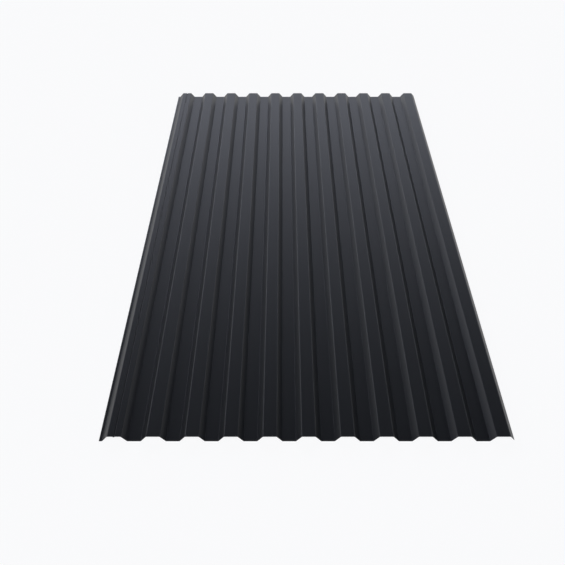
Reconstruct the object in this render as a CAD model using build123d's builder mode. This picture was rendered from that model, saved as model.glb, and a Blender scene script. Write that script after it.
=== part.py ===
# A trapezoidal roofing and wall sheet: one flat steel strip, rolled lengthwise into eleven flat-topped
# ribs with flat valleys between them.
#
# X runs across the sheet, Y runs along the ribs and Z is up. The sheet lies on its valleys, face side
# up. The origin is at the middle of the sheet, on the plane that it lies on.
import os
from math import hypot

from build123d import *

# The strip
sheet_thickness = 0.5
sheet_length = 2000

# One wave of the profile. The widths are those of the underside, between the corners that the folds round.
rib_count = 11
rib_pitch = 100
crest_width = 35
web_run = 15
profile_height = 18

# The inside radii of the folds. The crests' folds are rounder than the valleys'.
crest_fold_radius = 3.5
valley_fold_radius = 1.5

# The long edges, which are unlike. The left one ends in a narrow flange at valley level, and the right one
# in a web that is cut short, so that it laps over the first rib of the next sheet.
left_flange = 8
right_lip_drop = 13

# The drainage groove along the first rib, which the next sheet's last rib covers
groove_width = 5.5
groove_floor = 2
groove_depth = 1.8
groove_radius = 0.6

# What follows from these sizes. The lip's cut edge is square to its slope, so it leans out by a little.
rise = profile_height - sheet_thickness
right_lip_run = right_lip_drop * web_run / rise
cut_edge_lean = sheet_thickness * rise / hypot(web_run, rise)
last_crest_end = left_flange + web_run + (rib_count - 1) * rib_pitch + crest_width
overall_width = last_crest_end + right_lip_run + cut_edge_lean

# On the underside, the fold at a crest is seen from its inside and the one at a valley from its outside.
crest_fold = crest_fold_radius
valley_fold = valley_fold_radius + sheet_thickness
groove_edge_fold = groove_radius + sheet_thickness

# The corners of the underside, from left to right, and the radius that rounds each of them
start = -overall_width / 2
corners = [(start, 0)]
radii = []
for rib in range(rib_count):
    crest_left = start + left_flange + web_run + rib * rib_pitch
    crest_right = crest_left + crest_width
    corners += [(crest_left - web_run, 0), (crest_left, rise)]
    radii += [valley_fold, crest_fold]
    if rib == 0:
        middle = (crest_left + crest_right) / 2
        corners += [
            (middle - groove_width / 2, rise),
            (middle - groove_floor / 2, rise - groove_depth),
            (middle + groove_floor / 2, rise - groove_depth),
            (middle + groove_width / 2, rise),
        ]
        radii += [groove_radius, groove_edge_fold, groove_edge_fold, groove_radius]
    corners.append((crest_right, rise))
    radii.append(crest_fold)
    if rib < rib_count - 1:
        corners.append((crest_right + web_run, 0))
        radii.append(valley_fold)
corners.append((crest_right + right_lip_run, rise - right_lip_drop))

# The section is the underside's line, thickened upwards, and the sheet is that section rolled out along Y.
with BuildPart() as profiled_sheet:
    with BuildSketch(Plane.XZ) as section:
        with BuildLine() as underside:
            FilletPolyline(*corners, radius=radii)
            offset(amount=sheet_thickness, side=Side.LEFT)
        make_face()
    extrude(amount=sheet_length / 2, both=True)

profiled_sheet.part.label = "profiled_sheet"

os.makedirs("parts", exist_ok=True)
export_step(profiled_sheet.part, "parts/profiled_sheet.step")
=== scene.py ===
# Looks, light and camera for a trapezoidal profiled steel sheet.
# The sheet lies on its valleys, face side up, with its ribs running along Y.
import math

import bmesh
import bpy
from mathutils import Matrix, Vector


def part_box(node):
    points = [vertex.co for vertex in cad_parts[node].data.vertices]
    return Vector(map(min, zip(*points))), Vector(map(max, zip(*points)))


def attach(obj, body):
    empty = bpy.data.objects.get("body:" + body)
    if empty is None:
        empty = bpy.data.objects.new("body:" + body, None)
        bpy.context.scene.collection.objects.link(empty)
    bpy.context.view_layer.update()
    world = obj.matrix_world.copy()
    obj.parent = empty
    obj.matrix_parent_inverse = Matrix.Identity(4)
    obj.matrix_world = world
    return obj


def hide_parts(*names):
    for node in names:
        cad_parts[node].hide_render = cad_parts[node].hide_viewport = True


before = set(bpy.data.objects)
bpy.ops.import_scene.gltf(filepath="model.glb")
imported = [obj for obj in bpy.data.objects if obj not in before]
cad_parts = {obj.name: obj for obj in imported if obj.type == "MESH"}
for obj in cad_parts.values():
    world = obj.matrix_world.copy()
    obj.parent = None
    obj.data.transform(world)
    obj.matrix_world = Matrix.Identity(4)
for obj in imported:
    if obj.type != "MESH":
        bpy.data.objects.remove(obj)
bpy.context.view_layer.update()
print("frame loaded")

mm = 0.001


def srgb(hexCode):
    # hex colour as a paint chart gives it, turned to the linear values that the shader wants
    channels = [int(hexCode[i : i + 2], 16) / 255 for i in (1, 3, 5)]
    return [c / 12.92 if c <= 0.04045 else ((c + 0.055) / 1.055) ** 2.4 for c in channels] + [1.0]


def addNode(tree, kind, settings=None, values=None, links=None):
    # one node with its settings, the values typed on its sockets, and what feeds them, where a node
    # stands for its first output in use
    node = tree.nodes.new(kind)
    for name, value in (settings or {}).items():
        setattr(node, name, value)

    def pick(socket):
        if isinstance(socket, int):
            return node.inputs[socket]
        return next(s for s in node.inputs if s.name == socket and s.enabled)

    for socket, value in (values or {}).items():
        pick(socket).default_value = value
    for socket, source in (links or {}).items():
        if isinstance(source, bpy.types.Node):
            source = next(s for s in source.outputs if s.enabled)
        tree.links.new(source, pick(socket))
    return node


def newMaterial(name):
    material = bpy.data.materials.new(name)
    material.use_nodes = True
    material.node_tree.nodes.clear()
    return material, material.node_tree


def softPattern(tree, place, across, along, detail):
    # random swings between 0 and 1, of this real size in millimetres across and along the ribs
    scale = (1 / (across * mm), 1 / (along * mm), 1 / (across * mm))
    sized = addNode(tree, "ShaderNodeMapping", values={"Scale": scale}, links={"Vector": place})
    return addNode(
        tree, "ShaderNodeTexNoise", values={"Scale": 1, "Detail": detail}, links={"Vector": sized}
    )


def twoShades(tree, pattern, colours, roughnesses):
    # a colour and a roughness that swing together between two ends, as the pattern does
    colour = addNode(
        tree,
        "ShaderNodeMix",
        {"data_type": "RGBA"},
        {"A": srgb(colours[0]), "B": srgb(colours[1])},
        {"Factor": pattern},
    )
    roughness = addNode(
        tree,
        "ShaderNodeMapRange",
        values={"To Min": roughnesses[0], "To Max": roughnesses[1]},
        links={"Value": pattern},
    )
    return colour, roughness


# The rolled strip, in millimetres

sheet = {
    "node": "profiled_sheet",
    "slot": "coil_coated_steel",
    "thickness": 0.5,
    "ribs": 11,
    "pitch": 100,
    "crestWidth": 35,
    "webRun": 15,
    "height": 18,
    "crestFold": 3.5,  # inside radii
    "valleyFold": 1.5,
    "flangeWidth": 8,  # left long edge, at valley level
    "lipDrop": 13,  # right long edge, a web that stops short of the valley
    "grooveWidth": 5.5,  # drainage groove along the first rib
    "grooveFloor": 2,
    "grooveDepth": 1.8,
    "grooveRadius": 0.6,
    "stepsPerFold": 10,
}


def undersideCorners(strip):
    # corners of the underside from left to right, each with the radius that rounds it
    webRun = strip["webRun"]
    rise = strip["height"] - strip["thickness"]
    crestFold = strip["crestFold"]
    valleyFold = strip["valleyFold"] + strip["thickness"]
    grooveInside = strip["grooveRadius"]
    grooveOutside = strip["grooveRadius"] + strip["thickness"]
    corners = [(0, 0, 0)]
    for rib in range(strip["ribs"]):
        left = strip["flangeWidth"] + webRun + rib * strip["pitch"]
        right = left + strip["crestWidth"]
        corners += [(left - webRun, 0, valleyFold), (left, rise, crestFold)]
        if rib == 0:
            middle = (left + right) / 2
            edge = strip["grooveWidth"] / 2
            floor = strip["grooveFloor"] / 2
            bottom = rise - strip["grooveDepth"]
            corners += [
                (middle - edge, rise, grooveInside),
                (middle - floor, bottom, grooveOutside),
                (middle + floor, bottom, grooveOutside),
                (middle + edge, rise, grooveInside),
            ]
        corners.append((right, rise, crestFold))
        if rib < strip["ribs"] - 1:
            corners.append((right + webRun, 0, valleyFold))
    lipRun = strip["lipDrop"] * webRun / rise
    corners.append((right + lipRun, rise - strip["lipDrop"], 0))
    return corners


def foldedLine(corners, steps):
    # points of the underside, each with the direction that faces up out of the strip there and with
    # whether the strip is bent there, 0 or 1
    points = [Vector(corner[:2]) for corner in corners]
    runs = [(b - a).normalized() for a, b in zip(points, points[1:])]
    ups = [Vector((-run.y, run.x)) for run in runs]
    line = [(points[0], ups[0], 0)]
    for i in range(1, len(points) - 1):
        turn = -runs[i - 1].angle_signed(runs[i])  # positive where the line turns upwards
        side = math.copysign(1, turn)
        radius = corners[i][2]
        begin = points[i] - runs[i - 1] * radius * math.tan(abs(turn) / 2)
        centre = begin + ups[i - 1] * radius * side
        for step in range(steps + 1):
            up = Matrix.Rotation(turn * step / steps, 2) @ ups[i - 1]
            line.append((centre - up * radius * side, up, int(0 < step < steps)))
    line.append((points[-1], ups[-1], 0))
    return line


def buildSheet(strip):
    line = foldedLine(undersideCorners(strip), strip["stepsPerFold"])
    low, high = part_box(strip["node"])
    shift = low.x / mm
    near, far = low.y, high.y
    mesh = bpy.data.meshes.new(strip["node"])
    bm = bmesh.new()
    bent = bm.verts.layers.float.new("bent")
    rows = {}
    for side, lift in (("back", 0), ("face", strip["thickness"])):
        for y in (near, far):
            row = []
            for point, up, bend in line:
                x = (point.x + up.x * lift + shift) * mm
                z = (point.y + up.y * lift) * mm
                vertex = bm.verts.new((x, y, z))
                vertex[bent] = bend
                row.append(vertex)
            rows[side, y] = row
    faceSide, backSide, cutEdge = 0, 1, 2

    def quad(corners, slot):
        made = bm.faces.new(corners)
        made.material_index = slot
        made.smooth = slot != cutEdge

    top, topFar = rows["face", near], rows["face", far]
    bottom, bottomFar = rows["back", near], rows["back", far]
    for i in range(len(line) - 1):
        quad([top[i], top[i + 1], topFar[i + 1], topFar[i]], faceSide)
        quad([bottom[i + 1], bottom[i], bottomFar[i], bottomFar[i + 1]], backSide)
        quad([bottom[i], bottom[i + 1], top[i + 1], top[i]], cutEdge)
        quad([bottomFar[i + 1], bottomFar[i], topFar[i], topFar[i + 1]], cutEdge)
    quad([bottomFar[0], bottom[0], top[0], topFar[0]], cutEdge)  # left long edge
    quad([topFar[-1], top[-1], bottom[-1], bottomFar[-1]], cutEdge)  # right long edge
    for edge in bm.edges:
        finishes = {joined.material_index for joined in edge.link_faces}
        edge.smooth = len(finishes) == 1
    bm.normal_update()
    bm.to_mesh(mesh)
    bm.free()
    piece = bpy.data.objects.new("rolled_sheet", mesh)
    bpy.context.scene.collection.objects.link(piece)
    flatNormals = piece.modifiers.new("flatNormals", "WEIGHTED_NORMAL")
    flatNormals.keep_sharp = True
    flatNormals.weight = 100  # the large flats decide, and so stay flat right up to their folds
    return piece


# The face is coil-coated steel: a fluoropolymer (PVDF) paint, laid on the flat strip by rollers and
# baked on it before the strip is roll-formed. It reads as an even anthracite with a low, satin gloss,
# and with no more in it than a trace of the rollers' lanes and a fine orange peel.

face = {
    "colours": ("#090b0d", "#0c0e10"),  # the lanes swing between two shades and two roughnesses
    "roughness": (0.39, 0.43),
    "foldRoughness": 0.03,  # added where the strip is bent, as the paint is stretched there
    "ior": 1.42,  # PVDF
    "laneWidth": 14,  # all lengths in millimetres
    "laneLength": 900,
    "laneDetail": 3,
    "peelSize": 9,  # the real one is about 2 across and too fine to show, so it is drawn coarser
    "peelDepth": 0.03,
    "peelDetail": 1,
    "waveWidth": 50,  # the slight waviness that the flats of thin strip have
    "waveLength": 380,
    "waveDepth": 0.12,
    "waveDetail": 0,
}


def paintFace(look):
    material, tree = newMaterial("pvdf_coil_coat")
    place = addNode(tree, "ShaderNodeTexCoord").outputs["Object"]
    lanes = softPattern(tree, place, look["laneWidth"], look["laneLength"], look["laneDetail"])
    colour, laneRoughness = twoShades(tree, lanes, look["colours"], look["roughness"])
    bent = addNode(tree, "ShaderNodeAttribute", {"attribute_name": "bent"}).outputs["Fac"]
    roughness = addNode(
        tree,
        "ShaderNodeMath",
        {"operation": "MULTIPLY_ADD"},
        {1: look["foldRoughness"]},
        {0: bent, 2: laneRoughness},
    )
    waves = softPattern(tree, place, look["waveWidth"], look["waveLength"], look["waveDetail"])
    wavy = addNode(
        tree,
        "ShaderNodeBump",
        values={"Distance": look["waveDepth"] * mm},
        links={"Height": waves},
    )
    peel = softPattern(tree, place, look["peelSize"], look["peelSize"], look["peelDetail"])
    peeled = addNode(
        tree,
        "ShaderNodeBump",
        values={"Distance": look["peelDepth"] * mm},
        links={"Height": peel, "Normal": wavy},
    )
    shader = addNode(
        tree,
        "ShaderNodeBsdfPrincipled",
        values={"IOR": look["ior"]},
        links={"Base Color": colour, "Roughness": roughness, "Normal": peeled},
    )
    addNode(tree, "ShaderNodeOutputMaterial", links={"Surface": shader})
    return material


# The back has only a service coat: a thin epoxy, laid on by rollers, that reads as a paler grey with
# less gloss. It is so thin that the primer shows through it in lanes.

back = {
    "colours": ("#8d9193", "#7f8385"),  # as on the face, the lanes swing between these
    "roughness": (0.44, 0.56),
    "ior": 1.5,  # epoxy resin
    "laneWidth": 9,  # all lengths in millimetres
    "laneLength": 1100,
    "laneDetail": 4,
    "grainSize": 4,  # the rollers' pick-up marks are under 1 across, and are drawn coarser to show
    "grainDepth": 0.02,
    "grainDetail": 2,
}


def paintBack(look):
    material, tree = newMaterial("epoxy_backing_coat")
    place = addNode(tree, "ShaderNodeTexCoord").outputs["Object"]
    lanes = softPattern(tree, place, look["laneWidth"], look["laneLength"], look["laneDetail"])
    colour, roughness = twoShades(tree, lanes, look["colours"], look["roughness"])
    grain = softPattern(tree, place, look["grainSize"], look["grainSize"], look["grainDetail"])
    grained = addNode(
        tree,
        "ShaderNodeBump",
        values={"Distance": look["grainDepth"] * mm},
        links={"Height": grain},
    )
    shader = addNode(
        tree,
        "ShaderNodeBsdfPrincipled",
        values={"IOR": look["ior"]},
        links={"Base Color": colour, "Roughness": roughness, "Normal": grained},
    )
    addNode(tree, "ShaderNodeOutputMaterial", links={"Surface": shader})
    return material


# The rim is bare hot-dip galvanised steel where the shear went through it. It reads as a dull grey,
# in small patches where the blade burnished it and where the steel broke away.

rim = {
    "colours": ("#4a4c4f", "#333437"),  # burnished and broken
    "roughness": (0.38, 0.6),
    "patchSize": 0.5,  # millimetres, as the depth is
    "patchDepth": 0.02,
    "patchDetail": 2,
}


def bareRim(look):
    material, tree = newMaterial("sheared_galvanised_edge")
    place = addNode(tree, "ShaderNodeTexCoord").outputs["Object"]
    patches = softPattern(tree, place, look["patchSize"], look["patchSize"], look["patchDetail"])
    colour, roughness = twoShades(tree, patches, look["colours"], look["roughness"])
    torn = addNode(
        tree,
        "ShaderNodeBump",
        values={"Distance": look["patchDepth"] * mm},
        links={"Height": patches},
    )
    shader = addNode(
        tree,
        "ShaderNodeBsdfPrincipled",
        values={"Metallic": 1.0},
        links={"Base Color": colour, "Roughness": roughness, "Normal": torn},
    )
    addNode(tree, "ShaderNodeOutputMaterial", links={"Surface": shader})
    return material


rolledSheet = buildSheet(sheet)
for finish in (paintFace(face), paintBack(back), bareRim(rim)):
    rolledSheet.data.materials.append(finish)
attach(rolledSheet, "root")
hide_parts(sheet["node"])
print("sheet built and painted")

# The studio: a white floor that runs out into a white backdrop, under a dark ceiling, with broad soft
# lights that are painted on the surroundings. Headings are in degrees from +Y towards +X, heights in
# degrees above the horizon.

studio = {
    "floorSize": 60,  # metres
    "floorGap": 0.2,  # millimetres below the valleys, so that the two faces don't coincide
    "floorColour": "#f2f2f2",
    "floorWhite": 1.0,
    "whiteShare": 0.88,  # the rest of the floor is the lit one, which holds the shadow
    "backdropColour": "#ffffff",
    "backdropWhite": 0.957,  # as bright as the floor comes out
    "backdropTop": 7,  # the backdrop is white up to this height
    "ceilingStart": 15,  # and has faded into the ceiling here
    "lampColour": "#e9eeff",  # cool white
}

# A light fades out over its spread, in degrees above and below its height. The higher its focus, the
# narrower it is to the sides.

softLights = [
    {"name": "far", "heading": 0, "height": 17, "spread": 15, "focus": 3, "strength": 3.4},
    {"name": "far left", "heading": -45, "height": 22, "spread": 14, "focus": 8, "strength": 2.3},
    {"name": "near", "heading": 180, "height": 46, "spread": 34, "focus": 2, "strength": 4.8},
]


def buildFloor(look):
    mesh = bpy.data.meshes.new("studio_floor")
    half = look["floorSize"] / 2
    level = -look["floorGap"] * mm
    corners = [(-half, -half, level), (half, -half, level), (half, half, level), (-half, half, level)]
    mesh.from_pydata(corners, [], [(0, 1, 2, 3)])
    floor = bpy.data.objects.new("studio_floor", mesh)
    bpy.context.scene.collection.objects.link(floor)
    material, tree = newMaterial("white_sweep")
    lit = addNode(tree, "ShaderNodeBsdfDiffuse", values={"Color": srgb(look["floorColour"])})
    white = addNode(tree, "ShaderNodeEmission", values={"Strength": look["floorWhite"]})
    ray = addNode(tree, "ShaderNodeLightPath").outputs
    mirrored = addNode(
        tree,
        "ShaderNodeMath",
        {"operation": "MAXIMUM"},
        links={0: ray["Is Glossy Ray"], 1: ray["Is Transmission Ray"]},
    )
    seen = addNode(
        tree,
        "ShaderNodeMath",
        {"operation": "MAXIMUM"},
        links={0: ray["Is Camera Ray"], 1: mirrored},
    )
    share = addNode(
        tree, "ShaderNodeMath", {"operation": "MULTIPLY"}, {1: look["whiteShare"]}, {0: seen}
    )
    mix = addNode(tree, "ShaderNodeMixShader", links={"Fac": share, 1: lit, 2: white})
    addNode(tree, "ShaderNodeOutputMaterial", links={"Surface": mix})
    mesh.materials.append(material)


def softBand(tree, elevation, heading, light, lampColour):
    # glow of one light: a band round its height that fades out above, below and to both sides
    away = addNode(
        tree,
        "ShaderNodeMath",
        {"operation": "SUBTRACT"},
        {1: math.radians(light["height"])},
        {0: elevation},
    )
    distance = addNode(tree, "ShaderNodeMath", {"operation": "ABSOLUTE"}, links={0: away})
    band = addNode(
        tree,
        "ShaderNodeMapRange",
        {"interpolation_type": "SMOOTHSTEP"},
        {"From Max": math.radians(light["spread"]), "To Min": light["strength"], "To Max": 0},
        {"Value": distance},
    )
    turn = math.radians(light["heading"])
    facing = addNode(
        tree,
        "ShaderNodeVectorMath",
        {"operation": "DOT_PRODUCT"},
        {1: (math.sin(turn), math.cos(turn), 0)},
        {0: heading},
    )
    ahead = addNode(
        tree, "ShaderNodeMath", {"operation": "MAXIMUM"}, {1: 0}, {0: facing.outputs["Value"]}
    )
    sideways = addNode(
        tree, "ShaderNodeMath", {"operation": "POWER"}, {1: light["focus"]}, {0: ahead}
    )
    bright = addNode(
        tree, "ShaderNodeMath", {"operation": "MULTIPLY"}, links={0: band, 1: sideways}
    )
    return addNode(
        tree,
        "ShaderNodeVectorMath",
        {"operation": "SCALE", "label": light["name"]},
        {0: srgb(lampColour)[:3]},
        {"Scale": bright},
    )


def buildWorld(look, lights):
    world = bpy.data.worlds.new("studio")
    bpy.context.scene.world = world
    world.use_nodes = True
    tree = world.node_tree
    tree.nodes.clear()
    place = addNode(tree, "ShaderNodeTexCoord").outputs["Generated"]
    split = addNode(tree, "ShaderNodeSeparateXYZ", links={"Vector": place}).outputs
    elevation = addNode(tree, "ShaderNodeMath", {"operation": "ARCSINE"}, links={0: split["Z"]})
    level = addNode(tree, "ShaderNodeCombineXYZ", links={"X": split["X"], "Y": split["Y"]})
    heading = addNode(tree, "ShaderNodeVectorMath", {"operation": "NORMALIZE"}, links={0: level})
    backdrop = addNode(
        tree,
        "ShaderNodeMapRange",
        {"interpolation_type": "SMOOTHSTEP"},
        {
            "From Min": math.radians(look["backdropTop"]),
            "From Max": math.radians(look["ceilingStart"]),
            "To Min": look["backdropWhite"],
            "To Max": 0,
        },
        {"Value": elevation},
    )
    glow = addNode(
        tree,
        "ShaderNodeVectorMath",
        {"operation": "SCALE"},
        {0: srgb(look["backdropColour"])[:3]},
        {"Scale": backdrop},
    )
    for light in lights:
        band = softBand(tree, elevation, heading, light, look["lampColour"])
        glow = addNode(tree, "ShaderNodeVectorMath", {"operation": "ADD"}, links={0: glow, 1: band})
    shine = addNode(tree, "ShaderNodeBackground", links={"Color": glow})
    addNode(tree, "ShaderNodeOutputWorld", links={"Surface": shine})


buildFloor(studio)
buildWorld(studio, softLights)
print("studio lit")

# The camera stands where the photograph was taken from. All lengths but the last are in millimetres.

view = {
    "lens": 50,
    "sensor": 36,
    "across": -61.7,  # to the left of the sheet's middle
    "beforeFrontEdge": 1316.4,
    "height": 1586.1,
    "tiltDown": 38.87,  # degrees
    "clipEnd": 200,  # metres
}


def placeCamera(spot):
    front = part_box(sheet["node"])[0].y
    data = bpy.data.cameras.new("photo_camera")
    data.lens = spot["lens"]
    data.sensor_width = spot["sensor"]
    data.clip_end = spot["clipEnd"]
    camera = bpy.data.objects.new("photo_camera", data)
    camera.location = (spot["across"] * mm, front - spot["beforeFrontEdge"] * mm, spot["height"] * mm)
    camera.rotation_euler = (math.radians(90 - spot["tiltDown"]), 0, 0)
    bpy.context.scene.collection.objects.link(camera)
    bpy.context.scene.camera = camera


placeCamera(view)
bpy.context.scene.view_settings.view_transform = "Standard"
print("camera placed")
